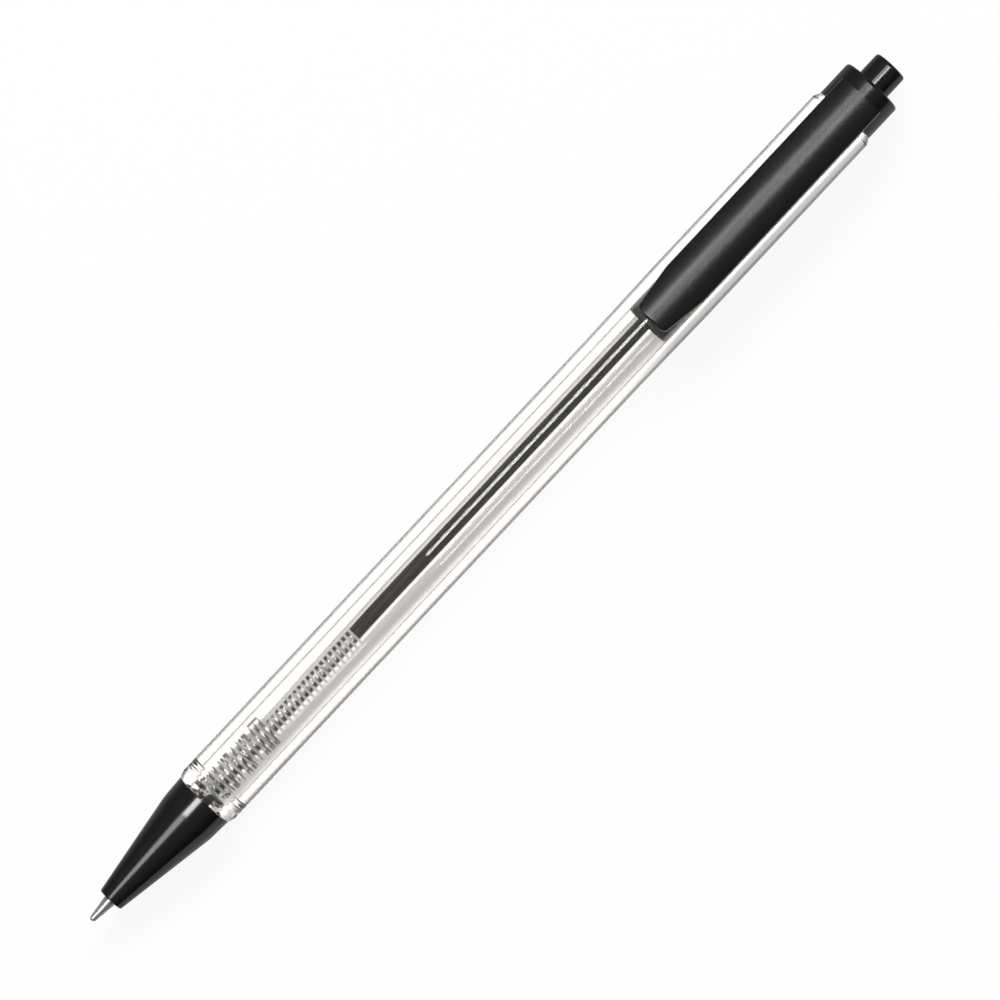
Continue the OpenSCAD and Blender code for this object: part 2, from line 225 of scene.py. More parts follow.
# %% Node helpers
def new_group(name, inputs, outputs):
    """Empty shader node group with named sockets, and its input and output nodes."""
    group = bpy.data.node_groups.new(name, "ShaderNodeTree")
    for label, kind, value in inputs:
        socket = group.interface.new_socket(label, in_out="INPUT", socket_type="NodeSocket" + kind)
        socket.default_value = value
    for label, kind in outputs:
        group.interface.new_socket(label, in_out="OUTPUT", socket_type="NodeSocket" + kind)
    return group, group.nodes.new("NodeGroupInput"), group.nodes.new("NodeGroupOutput")


def add(tree, kind, **settings):
    """New node with its properties set."""
    node = tree.nodes.new(kind)
    for key, value in settings.items():
        setattr(node, key, value)
    return node


def set_inputs(node, values):
    """Sets a node's named inputs to constants."""
    for label, value in values.items():
        node.inputs[label].default_value = value


def stretched_place(tree, along, across):
    """Object coordinates scaled along the pen and across it, for streaks or rings."""
    place = add(tree, "ShaderNodeTexCoord")
    scaled = add(tree, "ShaderNodeMapping")
    set_inputs(scaled, {"Scale": (along, across, across)})
    tree.links.new(place.outputs["Object"], scaled.inputs["Vector"])
    return scaled.outputs["Vector"]


def spread(tree, value, low, high):
    """Value from 0 to 1 mapped between two sockets."""
    node = add(tree, "ShaderNodeMapRange")
    for label, source in (("Value", value), ("To Min", low), ("To Max", high)):
        tree.links.new(source, node.inputs[label])
    return node.outputs["Result"]


def tint_and_shine(group, given, out, noise, second_colour):
    """Colour and roughness of a group that follow a noise between the group's own pairs of values."""
    tint = add(group, "ShaderNodeMix", data_type="RGBA")
    link = group.links.new
    link(noise, tint.inputs["Factor"])
    link(given.outputs["Colour"], tint.inputs["A"])
    link(given.outputs[second_colour], tint.inputs["B"])
    link(tint.outputs["Result"], out.inputs["Color"])
    least, most = given.outputs["Least Roughness"], given.outputs["Most Roughness"]
    link(spread(group, noise, least, most), out.inputs["Roughness"])


# %% Moulded skin group
MOTTLE_DETAIL, GRAIN_DETAIL = 3, 2


def make_moulded_skin():
    """Mottled colour, uneven shine and fine grain of a moulded plastic."""
    group, given, out = new_group(
        "Moulded Skin",
        [("Colour", "Color", (0.5, 0.5, 0.5, 1)), ("Mottle Colour", "Color", (0.6, 0.6, 0.6, 1)),
         ("Least Roughness", "Float", 0.2), ("Most Roughness", "Float", 0.3),
         ("Mottle Scale", "Float", 300.0), ("Grain Scale", "Float", 6000.0)],
        [("Color", "Color"), ("Roughness", "Float"), ("Height", "Float")],
    )
    place = stretched_place(group, 1.0, 1.0)
    link = group.links.new

    def noise(detail, scale):
        node = add(group, "ShaderNodeTexNoise")
        set_inputs(node, {"Detail": detail})
        link(place, node.inputs["Vector"])
        link(given.outputs[scale], node.inputs["Scale"])
        return node.outputs["Fac"]

    tint_and_shine(group, given, out, noise(MOTTLE_DETAIL, "Mottle Scale"), "Mottle Colour")
    link(noise(GRAIN_DETAIL, "Grain Scale"), out.inputs["Height"])
    return group


MOULDED_SKIN = make_moulded_skin()
print("node group:", MOULDED_SKIN.name)

# %% Drawn lines group
LINE_DETAIL = 4


def make_drawn_lines():
    """Fine lines that run along the pen or around it, for extruded, drawn and turned surfaces."""
    group, given, out = new_group(
        "Drawn Lines",
        [("Place", "Vector", (0, 0, 0)), ("Colour", "Color", (0.7, 0.7, 0.7, 1)),
         ("Line Colour", "Color", (0.6, 0.6, 0.6, 1)),
         ("Least Roughness", "Float", 0.1), ("Most Roughness", "Float", 0.2)],
        [("Color", "Color"), ("Roughness", "Float"), ("Height", "Float")],
    )
    lines = add(group, "ShaderNodeTexNoise")
    set_inputs(lines, {"Scale": 1.0, "Detail": LINE_DETAIL})
    group.links.new(given.outputs["Place"], lines.inputs["Vector"])
    tint_and_shine(group, given, out, lines.outputs["Fac"], "Line Colour")
    group.links.new(lines.outputs["Fac"], out.inputs["Height"])
    return group


DRAWN_LINES = make_drawn_lines()
print("node group:", DRAWN_LINES.name)


# %% Ring bands group
def make_ring_bands():
    """Roughness that is higher on part rings over the top of a grip."""
    group, given, out = new_group(
        "Ring Bands",
        [("Roughness", "Float", 0.0), ("Band Roughness", "Float", 0.8), ("First Ring", "Float", 0.0),
         ("Last Ring", "Float", 1.0), ("Pitch", "Float", 0.001), ("Share", "Float", 0.5),
         ("Axis Height", "Float", 0.0), ("Least Radius", "Float", 0.0), ("Half Width", "Float", 1.0),
         ("Between Roughness", "Float", 0.1)],
        [("Roughness", "Float")],
    )
    link, value_of = group.links.new, given.outputs

    def maths(operation, a, b):
        node = add(group, "ShaderNodeMath", operation=operation)
        for slot, value in enumerate((a, b)):
            if isinstance(value, float):
                node.inputs[slot].default_value = value
            else:
                link(value, node.inputs[slot])
        return node.outputs["Value"]

    place = add(group, "ShaderNodeTexCoord")
    split = add(group, "ShaderNodeSeparateXYZ")
    link(place.outputs["Object"], split.inputs["Vector"])
    x = split.outputs["X"]
    steps = maths("DIVIDE", maths("SUBTRACT", x, value_of["Last Ring"]), value_of["Pitch"])
    plain_share = maths("SUBTRACT", 1.0, value_of["Share"])
    in_ring = maths("GREATER_THAN", maths("FRACT", steps, 0.0), plain_share)
    inside = maths("MULTIPLY", maths("GREATER_THAN", x, value_of["First Ring"]),
                   maths("LESS_THAN", x, value_of["Last Ring"]))
    height = maths("SUBTRACT", split.outputs["Z"], value_of["Axis Height"])
    across = add(group, "ShaderNodeCombineXYZ")
    link(split.outputs["Y"], across.inputs["Y"])
    link(height, across.inputs["Z"])
    radius = add(group, "ShaderNodeVectorMath", operation="LENGTH")
    link(across.outputs["Vector"], radius.inputs["Vector"])
    outside = maths("GREATER_THAN", radius.outputs["Value"], value_of["Least Radius"])
    beside = maths("ABSOLUTE", split.outputs["Y"], 0.0)
    near_top = maths("MULTIPLY", maths("GREATER_THAN", height, 0.0),
                     maths("LESS_THAN", beside, value_of["Half Width"]))
    grip = maths("MULTIPLY", inside, maths("MULTIPLY", outside, near_top))
    frosted = maths("MULTIPLY", in_ring, grip)
    between = spread(group, grip, value_of["Roughness"], value_of["Between Roughness"])
    link(spread(group, frosted, between, value_of["Band Roughness"]), out.inputs["Roughness"])
    return group


RING_BANDS = make_ring_bands()
print("node group:", RING_BANDS.name)

# %% [markdown]
# ## Finishes
# Each finish is a Principled shader whose colour, roughness and bump come from one of the groups. Numbers
# that are the same all over, such as the index of refraction, are set on the shader itself. The two clear
# plastics are real refracting solids. Only shadow rays and diffuse rays go straight through them, with a
# tint, because a renderer would otherwise need a very long time to find the lamps through a curved wall.
# Where their surface turns away, a painted shade makes their colour darker, which draws dark lines along
# their edges.


# %% Material helpers
def new_material(name):
    """Material with an empty tree apart from a Principled shader and the output."""
    material = bpy.data.materials.new(name)
    material.use_nodes = True
    tree = material.node_tree
    tree.nodes.clear()
    shader = add(tree, "ShaderNodeBsdfPrincipled")
    output = add(tree, "ShaderNodeOutputMaterial")
    tree.links.new(shader.outputs["BSDF"], output.inputs["Surface"])
    return material, tree, shader


def shader_of(material):
    """A material's tree and the Principled shader in it."""
    tree = material.node_tree
    return tree, next(node for node in tree.nodes if node.type == "BSDF_PRINCIPLED")


def place_group(tree, shader, group, values, bump, depth):
    """Places a group with its own values and feeds colour, roughness and bump to the shader."""
    node = add(tree, "ShaderNodeGroup", node_tree=group)
    set_inputs(node, values)
    tree.links.new(node.outputs["Color"], shader.inputs["Base Color"])
    tree.links.new(node.outputs["Roughness"], shader.inputs["Roughness"])
    if bump > 0:
        raised = add(tree, "ShaderNodeBump")
        set_inputs(raised, {"Strength": bump, "Distance": depth})
        tree.links.new(node.outputs["Height"], raised.inputs["Height"])
        tree.links.new(raised.outputs["Normal"], shader.inputs["Normal"])
    return node


def grey(value, warm=0.0):
    """Opaque grey, a little warmer or cooler."""
    return (value * (1 + warm), value, value * (1 - warm), 1)


# %% Opaque finishes
GRAIN_DEPTH, LINE_DEPTH = 0.02 * MM, 0.01 * MM


def moulded(name, colour, mottle, roughness, scale, grain, bump, specular=0.5):
    """Opaque moulded plastic, or a liquid with as even a surface."""
    material, tree, shader = new_material(name)
    values = {"Colour": colour, "Mottle Colour": mottle, "Least Roughness": roughness[0],
              "Most Roughness": roughness[1], "Mottle Scale": scale, "Grain Scale": grain}
    place_group(tree, shader, MOULDED_SKIN, values, bump, GRAIN_DEPTH)
    set_inputs(shader, {"Specular IOR Level": specular})
    return material


def drawn(name, colour, line_colour, roughness, along, across, bump, metal=1.0):
    """Surface with lines along the pen or around it, metal unless told otherwise."""
    material, tree, shader = new_material(name)
    values = {"Colour": colour, "Line Colour": line_colour,
              "Least Roughness": roughness[0], "Most Roughness": roughness[1]}
    node = place_group(tree, shader, DRAWN_LINES, values, bump, LINE_DEPTH)
    tree.links.new(stretched_place(tree, along, across), node.inputs["Place"])
    set_inputs(shader, {"Metallic": metal})
    return material


# %% Clear finish
FLOW_ALONG, FLOW_ACROSS = 60, 900


def paint_rim_shade(tree, shader, rim_start, rim_end, rim_grey):
    """Multiplies the colour by a grey where the surface turns away: a painted shade along the edges."""
    source = shader.inputs["Base Color"].links[0].from_socket
    turning = add(tree, "ShaderNodeLayerWeight")
    fade = add(tree, "ShaderNodeMapRange", interpolation_type="SMOOTHSTEP")
    set_inputs(fade, {"From Min": rim_start, "From Max": rim_end, "To Min": 1.0, "To Max": rim_grey})
    darker = add(tree, "ShaderNodeMix", data_type="RGBA", blend_type="MULTIPLY")
    set_inputs(darker, {"Factor": 1.0})
    tree.links.new(turning.outputs["Facing"], fade.inputs["Value"])
    tree.links.new(source, darker.inputs["A"])
    tree.links.new(fade.outputs["Result"], darker.inputs["B"])
    tree.links.new(darker.outputs["Result"], shader.inputs["Base Color"])


def clear(name, colour, line_colour, roughness, index, painted_rim, shadow):
    """Clear plastic that refracts, tints the light going straight through it, and has painted shade on its
    edges.
    """
    material = drawn(name, colour, line_colour, roughness, FLOW_ALONG, FLOW_ACROSS, bump=0.0, metal=0.0)
    tree, shader = shader_of(material)
    set_inputs(shader, {"Transmission Weight": 1.0, "IOR": index})
    # Painted shade: the colour darkens where the surface turns away, which draws dark lines along the edges.
    paint_rim_shade(tree, shader, *painted_rim)
    straight = add(tree, "ShaderNodeBsdfTransparent")
    set_inputs(straight, {"Color": shadow})
    path = add(tree, "ShaderNodeLightPath")
    surface = shader.outputs["BSDF"]
    for ray in ("Is Shadow Ray", "Is Diffuse Ray"):
        choice = add(tree, "ShaderNodeMixShader")
        tree.links.new(path.outputs[ray], choice.inputs["Fac"])
        tree.links.new(surface, choice.inputs[1])
        tree.links.new(straight.outputs["BSDF"], choice.inputs[2])
        surface = choice.outputs["Shader"]
    tree.links.new(surface, tree.get_output_node("ALL").inputs["Surface"])
    return material


# %% The pen's finishes
# The three numbers after the index say where the painted edge shade starts, where it is full and how dark it
# gets.
clear_plastic = clear(
    "clear_plastic", grey(0.985), grey(0.995), roughness=(0.0, 0.015), index=1.5,
    painted_rim=(0.53, 0.67, 0.2), shadow=grey(0.93, 0.01))
refill_plastic = clear(
    "refill_plastic", grey(0.95, 0.025), grey(0.975, 0.02), roughness=(0.0, 0.03), index=1.49,
    painted_rim=(0.49, 0.79, 0.18), shadow=grey(0.22, 0.12))
gloss_black = moulded(
    "gloss_black", grey(0.004, -0.05), grey(0.007, -0.03), roughness=(0.15, 0.19),
    scale=260.0, grain=5200.0, bump=0.004)
satin_black = moulded(
    "satin_black", grey(0.003), grey(0.006), roughness=(0.24, 0.29),
    scale=340.0, grain=9000.0, bump=0.08)
inner_black = moulded(
    "inner_black", grey(0.003), grey(0.005), roughness=(0.4, 0.55),
    scale=300.0, grain=7000.0, bump=0.1)
natural_plastic = moulded(
    "natural_plastic", grey(0.78, 0.02), grey(0.84, 0.015), roughness=(0.35, 0.5),
    scale=420.0, grain=6000.0, bump=0.08)
black_ink = moulded(
    "black_ink", grey(0.045), grey(0.06), roughness=(0.12, 0.3),
    scale=700.0, grain=2500.0, bump=0.03, specular=0.15)
spring_steel = drawn(
    "spring_steel", grey(0.3, 0.02), grey(0.18, 0.03), roughness=(0.4, 0.55),
    along=900, across=2600, bump=0.1)
tip_metal = drawn(
    "tip_metal", grey(0.57, -0.005), grey(0.46, -0.005), roughness=(0.22, 0.34),
    along=9000, across=150, bump=0.06, metal=0.75)
ball_metal = drawn(
    "ball_metal", grey(0.55, -0.01), grey(0.48), roughness=(0.06, 0.14),
    along=5000, across=5000, bump=0.03)
finishes = (clear_plastic, refill_plastic, gloss_black, satin_black, inner_black,
            natural_plastic, black_ink, spring_steel, tip_metal, ball_metal)
print("finishes:", ", ".join(finish.name for finish in finishes))


# %% Dressing helper
def dress(piece, material, body, slot, *nodes):
    """Gives a piece its finish, the body that carries it and the solids that it stands for."""
    piece.data.materials.clear()
    piece.data.materials.append(material)
    if body:
        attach(piece, body)
    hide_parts(*nodes)
    print(f"{piece.name}: {len(piece.data.vertices)} vertices, {material.name}")


# %% [markdown]
# ## The clear barrel
# The barrel is one clear moulding: a hidden spigot for the nose cone, a grip with 33 rings of fine grooves,
# a long plain stretch and a slightly wider upper end under the clip. Bump mapping could fake the grooves,
# but a clear wall refracts, so the grooves have to be real: a wave in the lathe outline. The bore is part
# of the same closed outline, which gives the wall its true thickness. The refraction through that wall,
# together with a painted shade where the surface turns away, draws the dark lines along its edges.
# The bore narrows slowly towards the nose cone, which keeps that end bright. One flank of each groove is
# left unpolished over the top of the grip, and these dull bands part the refill into light and dark bars.

# %% Barrel sizes in millimetres
FIT, GAP = 0.03, 0.02
GRIP_R = next(m["dims"]["r_mm"] for m in frame["record"]["mounts"] if m["name"] == "barrel_seat")
FLARE_R = AXIS_Z / MM
BORE_R = widest("cam_sleeve") + FIT
SPIGOT_R, CHAMBER_R, NOSE_BASE_R = 2.95, 2.25, 3.925
CHAMFER_LEN, CHAMFER_ROUND, GRIP_MARGIN = 0.9, 0.25, 0.2
BORE_TAPER_LEN, BORE_TAPER_ROUND = 3.0, 0.6
GROOVES, GROOVE_PITCH, GROOVE_DEPTH, GROOVE_STEPS = 33, 0.785, 0.04, 12
PLAIN_LEN, FLARE_LEN, FLARE_ROUND = 45.0, 12.0, 6
RIM_LEN, RIM_DROP = 0.8, 0.45
BARREL_START = NOSE_END + GAP
GRIP_START = BARREL_START + CHAMFER_LEN + GRIP_MARGIN
GRIP_END = GRIP_START + GROOVES * GROOVE_PITCH
FLARE_START = GRIP_END + PLAIN_LEN
print(f"grip from {GRIP_START:.1f} to {GRIP_END:.1f} mm, wall {GRIP_R - BORE_R:.2f} mm thick")


# %% Barrel outline
def grip_wave():
    """Grooves of the grip, as one wave along the barrel."""
    points = []
    for i in range(GROOVES * GROOVE_STEPS + 1):
        dip = (1 - math.cos(math.tau * i / GROOVE_STEPS)) / 2
        points.append((GRIP_START + i * GROOVE_PITCH / GROOVE_STEPS, GRIP_R - GROOVE_DEPTH * dip))
    return points


front_end = rounded([
    (SPIGOT_START, CHAMBER_R, FINE), (SPIGOT_START, SPIGOT_R, EASED), (BARREL_START, SPIGOT_R, FINE),
    (BARREL_START, NOSE_BASE_R, EDGE), (BARREL_START + CHAMFER_LEN, GRIP_R, CHAMFER_ROUND),
    (GRIP_START, GRIP_R, 0),
])
upper_end_and_bore = rounded([
    (GRIP_END, GRIP_R, 0), (FLARE_START, GRIP_R, FLARE_ROUND),
    (FLARE_START + FLARE_LEN, FLARE_R, FLARE_ROUND), (BARREL_END - RIM_LEN, FLARE_R, SOFT),
    (BARREL_END, FLARE_R - RIM_DROP, EASED), (BARREL_END, BORE_R, EDGE),
    (BARREL_START + BORE_TAPER_LEN, BORE_R, BORE_TAPER_ROUND), (BARREL_START, CHAMBER_R, BLUNT),
    (SPIGOT_START, CHAMBER_R, 0),
])
barrel_outline = front_end[:-1] + grip_wave() + upper_end_and_bore[1:-1]
print("barrel outline:", len(barrel_outline), "points")

# %% Barrel
BAND_ROUGHNESS, BAND_SHARE, BAND_HALF_WIDTH, BETWEEN_ROUGHNESS = 0.85, 0.42, 1.45, 0.14


def rough_bands(material):
    """Leaves one flank of every groove unpolished."""
    tree, shader = shader_of(material)
    source = shader.inputs["Roughness"].links[0].from_socket
    bands = add(tree, "ShaderNodeGroup", node_tree=RING_BANDS)
    set_inputs(bands, {
        "Band Roughness": BAND_ROUGHNESS, "Between Roughness": BETWEEN_ROUGHNESS,
        "First Ring": on_pen(GRIP_START, 0, 0).x, "Last Ring": on_pen(GRIP_END, 0, 0).x,
        "Pitch": GROOVE_PITCH * MM, "Share": BAND_SHARE, "Axis Height": AXIS_Z,
        "Least Radius": (BORE_R + GRIP_R) / 2 * MM, "Half Width": BAND_HALF_WIDTH * MM,
    })
    tree.links.new(source, bands.inputs["Roughness"])
    tree.links.new(bands.outputs["Roughness"], shader.inputs["Roughness"])


rough_bands(clear_plastic)
dress(lathe("clear_barrel", barrel_outline), clear_plastic, "housing", "clear_plastic", "barrel")

# %% [markdown]
# ## Nose cone and push button
# Both are small glossy black mouldings that look turned. Their outlines need few corners, but each corner
# that shows is rounded, because on black plastic the edges show only as thin highlights.

# %% Nose cone
NOSE_MOUTH_R, NOSE_SHOULDER_R, NOSE_BAND_LEN, TIP_HOLE_R = 1.65, 3.775, 3.0, 1.2
MOUTH_ROUND, SHOULDER_ROUND = 0.22, 8
socket_r, socket_floor, spring_seat = SPIGOT_R + FIT, SPIGOT_START - GAP, SPRING_START - GAP
nose_outline = rounded([
    (NOSE_START, TIP_HOLE_R, CRISP), (NOSE_START, NOSE_MOUTH_R, MOUTH_ROUND),
    (NOSE_END - NOSE_BAND_LEN, NOSE_SHOULDER_R, SHOULDER_ROUND), (NOSE_END, NOSE_BASE_R, CRISP),
    (NOSE_END, socket_r, FINE), (socket_floor, socket_r, 0), (socket_floor, CHAMBER_R, 0),
    (spring_seat, CHAMBER_R, 0), (spring_seat, TIP_HOLE_R, 0),
])
dress(lathe("nose_shell", nose_outline), gloss_black, "housing", "gloss_black", "nose_cone")

# %% Push button
BUTTON_R, BUTTON_ROUND = 2.22, 0.38
COLLAR_R, COLLAR_LEN = widest("push_button"), 1.0
SOCKET_R, SOCKET_LEN = 1.41, 6.0
button_outline = rounded([
    (COLLAR_START, SOCKET_R, 0), (COLLAR_START, COLLAR_R, CRISP),
    (COLLAR_START + COLLAR_LEN, COLLAR_R, CRISP), (COLLAR_START + COLLAR_LEN, BUTTON_R, 0),
    (BUTTON_END, BUTTON_R, BUTTON_ROUND), (BUTTON_END, 0.0, 0),
    (COLLAR_START + SOCKET_LEN, 0.0, 0), (COLLAR_START + SOCKET_LEN, SOCKET_R, 0),
])
dress(lathe("press_button", button_outline), gloss_black, "button", "gloss_black", "push_button")

# %% [markdown]
# ## Crown and clip
# The crown closes the barrel and carries the clip in one satin black moulding. The crown is turned; the clip
# is an arched strip, so it is lofted: one rounded cross-section is carried along stations that narrow
# towards the free end. A boolean union then joins the two, as the mould does.

# %% Clip sizes in millimetres
CLIP_ROOT = 2.7
CLIP_TOP = BARREL_END + CLIP_ROOT
CLIP_OUTER_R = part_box("clip_crown")[1].z / MM - FLARE_R
CLIP_T, CLIP_HALF_W, CLIP_TIP_HALF_W = 1.2, 3.075, 2.35
CLIP_TAPER_LEN, CLIP_CORNER_R, CLIP_EDGE_R = 6.0, 0.7, 0.28
print(f"clip: {CLIP_TOP - CLIP_START:.1f} mm long, {2 * CLIP_HALF_W:.2f} mm wide")

# %% Clip cross-section
SECTION_STEPS, EDGE_STEPS = 26, 8
THICKNESS_TO_EDGE = 2.2


def clip_half_width(s):
    """Half the clip's width at a station: straight, tapered, then rounded off at the free end."""
    d = s - CLIP_START
    if d >= CLIP_TAPER_LEN:
        return CLIP_HALF_W
    slope = (CLIP_HALF_W - CLIP_TIP_HALF_W) / (CLIP_TAPER_LEN - CLIP_CORNER_R)
    if d >= CLIP_CORNER_R:
        return CLIP_TIP_HALF_W + slope * (d - CLIP_CORNER_R)
    return CLIP_TIP_HALF_W - CLIP_CORNER_R + math.sqrt(max(CLIP_CORNER_R ** 2 - (CLIP_CORNER_R - d) ** 2, 0))


def clip_section(s, thin):
    """Closed cross-section of the clip at a station, as (across, height) points with rounded edges."""
    outer_r, inner_r = CLIP_OUTER_R - thin, CLIP_OUTER_R - CLIP_T + thin
    edge = min(CLIP_EDGE_R, (outer_r - inner_r) / THICKNESS_TO_EDGE)
    flat = clip_half_width(s) - thin - edge
    top, low = math.sqrt(outer_r ** 2 - flat ** 2), math.sqrt(inner_r ** 2 - flat ** 2)
    points = []
    for side, radius in ((1, outer_r), (-1, inner_r)):
        for i in range(SECTION_STEPS + 1):
            y = side * flat * (2 * i / SECTION_STEPS - 1)
            points.append((y, math.sqrt(radius ** 2 - y * y)))
        for k in range(1, EDGE_STEPS):
            turn = math.pi * k / EDGE_STEPS
            height = (top + low) / 2 + side * (top - low) / 2 * math.cos(turn)
            points.append((side * (flat + edge * math.sin(turn)), height))
    return points


print("clip cross-section:", len(clip_section(CLIP_TOP, 0.0)), "points")

# %% Clip strip
END_STEPS, CORNER_STEPS, STRIP_STEPS = 5, 6, 40


def clip_stations():
    """(station, thinning) of the lofted sections: a rounded free end, then even steps."""
    corner_end = CLIP_START + CLIP_CORNER_R
    turns = [math.pi / 2 * k / END_STEPS for k in range(END_STEPS + 1)]
    ends = [(CLIP_START + CLIP_EDGE_R * (1 - math.cos(t)), CLIP_EDGE_R * (1 - math.sin(t))) for t in turns]
    corner = [(CLIP_START + CLIP_CORNER_R * k / CORNER_STEPS, 0.0)
              for k in range(CORNER_STEPS // 2, CORNER_STEPS + 1)]
    strip = [(corner_end + (CLIP_TOP - corner_end) * k / STRIP_STEPS, 0.0)
             for k in range(1, STRIP_STEPS + 1)]
    return ends + corner + strip


def fill_clip(bm):
    """Lofts the clip between its sections and closes both ends."""
    rings = []
    for s, thin in clip_stations():
        ring = [bm.verts.new((TIP_X + s * MM, y * MM, AXIS_Z + z * MM)) for y, z in clip_section(s, thin)]
        rings.append(ring)
    skin_bar(bm, rings)


print("clip sections:", len(clip_stations()))

# %% Ridge under the clip's free end
RIDGE_R, RIDGE_AT, RIDGE_CLEAR, RIDGE_ROOT = 0.9, 2.6, 0.05, 0.45
RIDGE_STEPS = 12


def fill_ridge(bm):
    """Bar across the clip with a half round underside, its top sunk into the strip."""
    middle = FLARE_R + RIDGE_CLEAR + RIDGE_R
    half_w = CLIP_TIP_HALF_W - CLIP_CORNER_R / 2
    profile = [(RIDGE_R, RIDGE_ROOT), (-RIDGE_R, RIDGE_ROOT)]
    for k in range(RIDGE_STEPS + 1):
        turn = math.pi * k / RIDGE_STEPS
        profile.append((-RIDGE_R * math.cos(turn), -RIDGE_R * math.sin(turn)))
    rings = []
    for y in (-half_w, half_w):
        ring = []
        for ahead, rise in profile:
            x = TIP_X + (CLIP_START + RIDGE_AT + ahead) * MM
            ring.append(bm.verts.new((x, y * MM, AXIS_Z + (middle + rise) * MM)))
        rings.append(ring)
    skin_bar(bm, rings)


print(f"ridge: {2 * RIDGE_R:.1f} mm long, {RIDGE_CLEAR} mm above the barrel")

# %% Crown, joined with its clip
CROWN_R, CROWN_ROUND, ROOF, BUTTON_FIT = 4.0, 0.4, 1.9, 0.08
BUTTON_HOLE_R = BUTTON_R + BUTTON_FIT


def unite(piece, *others):
    """Joins other closed pieces into a piece and removes them."""
    for other in others:
        union = piece.modifiers.new("union", "BOOLEAN")
        union.object, union.operation, union.solver = other, "UNION", "EXACT"
    bpy.context.view_layer.update()
    evaluated = piece.evaluated_get(bpy.context.evaluated_depsgraph_get())
    joined = bpy.data.meshes.new_from_object(evaluated)
    piece.modifiers.clear()
    piece.data = joined
    for other in others:
        bpy.data.objects.remove(other)
    shade(joined)
    return piece


crown_outline = rounded([
    (BARREL_END + GAP, BORE_R, FINE), (BARREL_END + GAP, CROWN_R, EDGE),
    (CROWN_END, CROWN_R, CROWN_ROUND), (CROWN_END, BUTTON_HOLE_R, BLUNT),
    (CROWN_END - ROOF, BUTTON_HOLE_R, 0), (CROWN_END - ROOF, BORE_R, 0),
])
crown = lathe("crown_and_clip", crown_outline)
unite(crown, smooth_object("clip_strip", fill_clip), smooth_object("clip_ridge", fill_ridge))
dress(crown, satin_black, "housing", "satin_black", "clip_crown")

# %% [markdown]
# ## Sleeve, plunger and rotor
# The click mechanism hides under the clip, apart from the lower end of its black sleeve. That sleeve gets a
# fine turned mesh with its bore and guide ribs, and the plunger and rotor keep their solids and only take
# a finish.

# %% Guide ribs
SLEEVE_R, SLEEVE_BORE_R = widest("cam_sleeve"), 2.5
RIB_COUNT, RIB_W, RIB_H, RIB_LEN, CAM_RISE = 4, 1.5, 0.5, 15.5, 0.5
PRESS_TRAVEL, END_CLEAR = 0.8, 0.12
RIB_STEPS = 8
RIB_END = COLLAR_START - PRESS_TRAVEL - END_CLEAR


def fill_rib(bm, middle):
    """Guide rib inside the sleeve, with a slanted lower end, sunk a little into the wall."""
    low_r, high_r = SLEEVE_BORE_R - RIB_H, (SLEEVE_BORE_R + SLEEVE_R) / 2
    rings = []
    for k in range(RIB_STEPS + 1):
        share = k / RIB_STEPS
        turn = middle + math.asin(RIB_W * (share - 0.5) / low_r)
        start = RIB_END - RIB_LEN + CAM_RISE * share
        corners = [(start, low_r), (RIB_END, low_r), (RIB_END, high_r), (start, high_r)]
        rings.append([bm.verts.new(on_pen(s, r, turn)) for s, r in corners])
    skin_bar(bm, rings)


ribs = []
for i in range(RIB_COUNT):
    middle = math.tau * (i + 0.5) / RIB_COUNT
    ribs.append(smooth_object(f"rib_{i}", lambda bm: fill_rib(bm, middle)))
print("guide ribs:", len(ribs))

# %% Sleeve, plunger and rotor
sleeve_outline = rounded([
    (SLEEVE_START, SLEEVE_BORE_R, EASED), (SLEEVE_START, SLEEVE_R, SOFT),
    (SLEEVE_END, SLEEVE_R, EASED), (SLEEVE_END, SLEEVE_BORE_R, FINE),
])
sleeve = unite(lathe("guide_sleeve", sleeve_outline), *ribs)
dress(sleeve, inner_black, "housing", "inner_black", "cam_sleeve")
for name in ("cam_plunger", "cam_rotor"):
    solid = frame["nodes"][name]
    solid.data.materials.clear()
    solid.data.materials.append(natural_plastic)
    print(f"{name}: solid, {natural_plastic.name}")

# %% [markdown]
# ## Refill: tube, ink and tip
# The refill is a thick clear tube with black ink, a metal tip and two crimped ears that take the spring.
# A real refill is never quite straight, and this one leans to one side of the bore above the spring. The
# ink is a hair wider than the tube's bore, so that no film of air lies between them: then the tube's wall
# magnifies the ink as it does in the hand.

# %% Bend of the refill
LEAN, LEAN_START, LEAN_FULL, LEAN_END, STRAIGHT_END = 0.53, 20.0, 56.6, 97.5, 4


def ease(t):
    """Smooth step from 0 to 1."""
    t = min(max(t, 0.0), 1.0)
    return t * t * (3 - 2 * t)


def lean(s):
    """How far the refill leans aside at a station, in millimetres."""
    rise = ease((s - LEAN_START) / (LEAN_FULL - LEAN_START))
    fall = ease((s - LEAN_END) / (TUBE_END - STRAIGHT_END - LEAN_END))
    return LEAN * rise * (1 - fall)


def stepped(s0, s1, step=1.0):
    """Stations from s0 to s1, close enough together to bend."""
    count = max(int((s1 - s0) / step), 1)
    return [s0 + (s1 - s0) * i / count for i in range(count + 1)]


print(f"refill leans {lean(LEAN_FULL):.2f} mm aside")

# %% Tube with its ears
TUBE_R, INK_R, TUBE_SIDES = half_sizes("refill_tube")[1], widest("ink_column"), 96
EAR_R, EAR_LEN, EAR_T, EAR_FOOT, EAR_ROUND = widest("refill_tube"), 2.2, 0.7, 0.3, 0.4
EAR_GAP, EAR_FLAT = 0.04, EAR_LEN / 3
EAR_START = SPRING_END + EAR_GAP


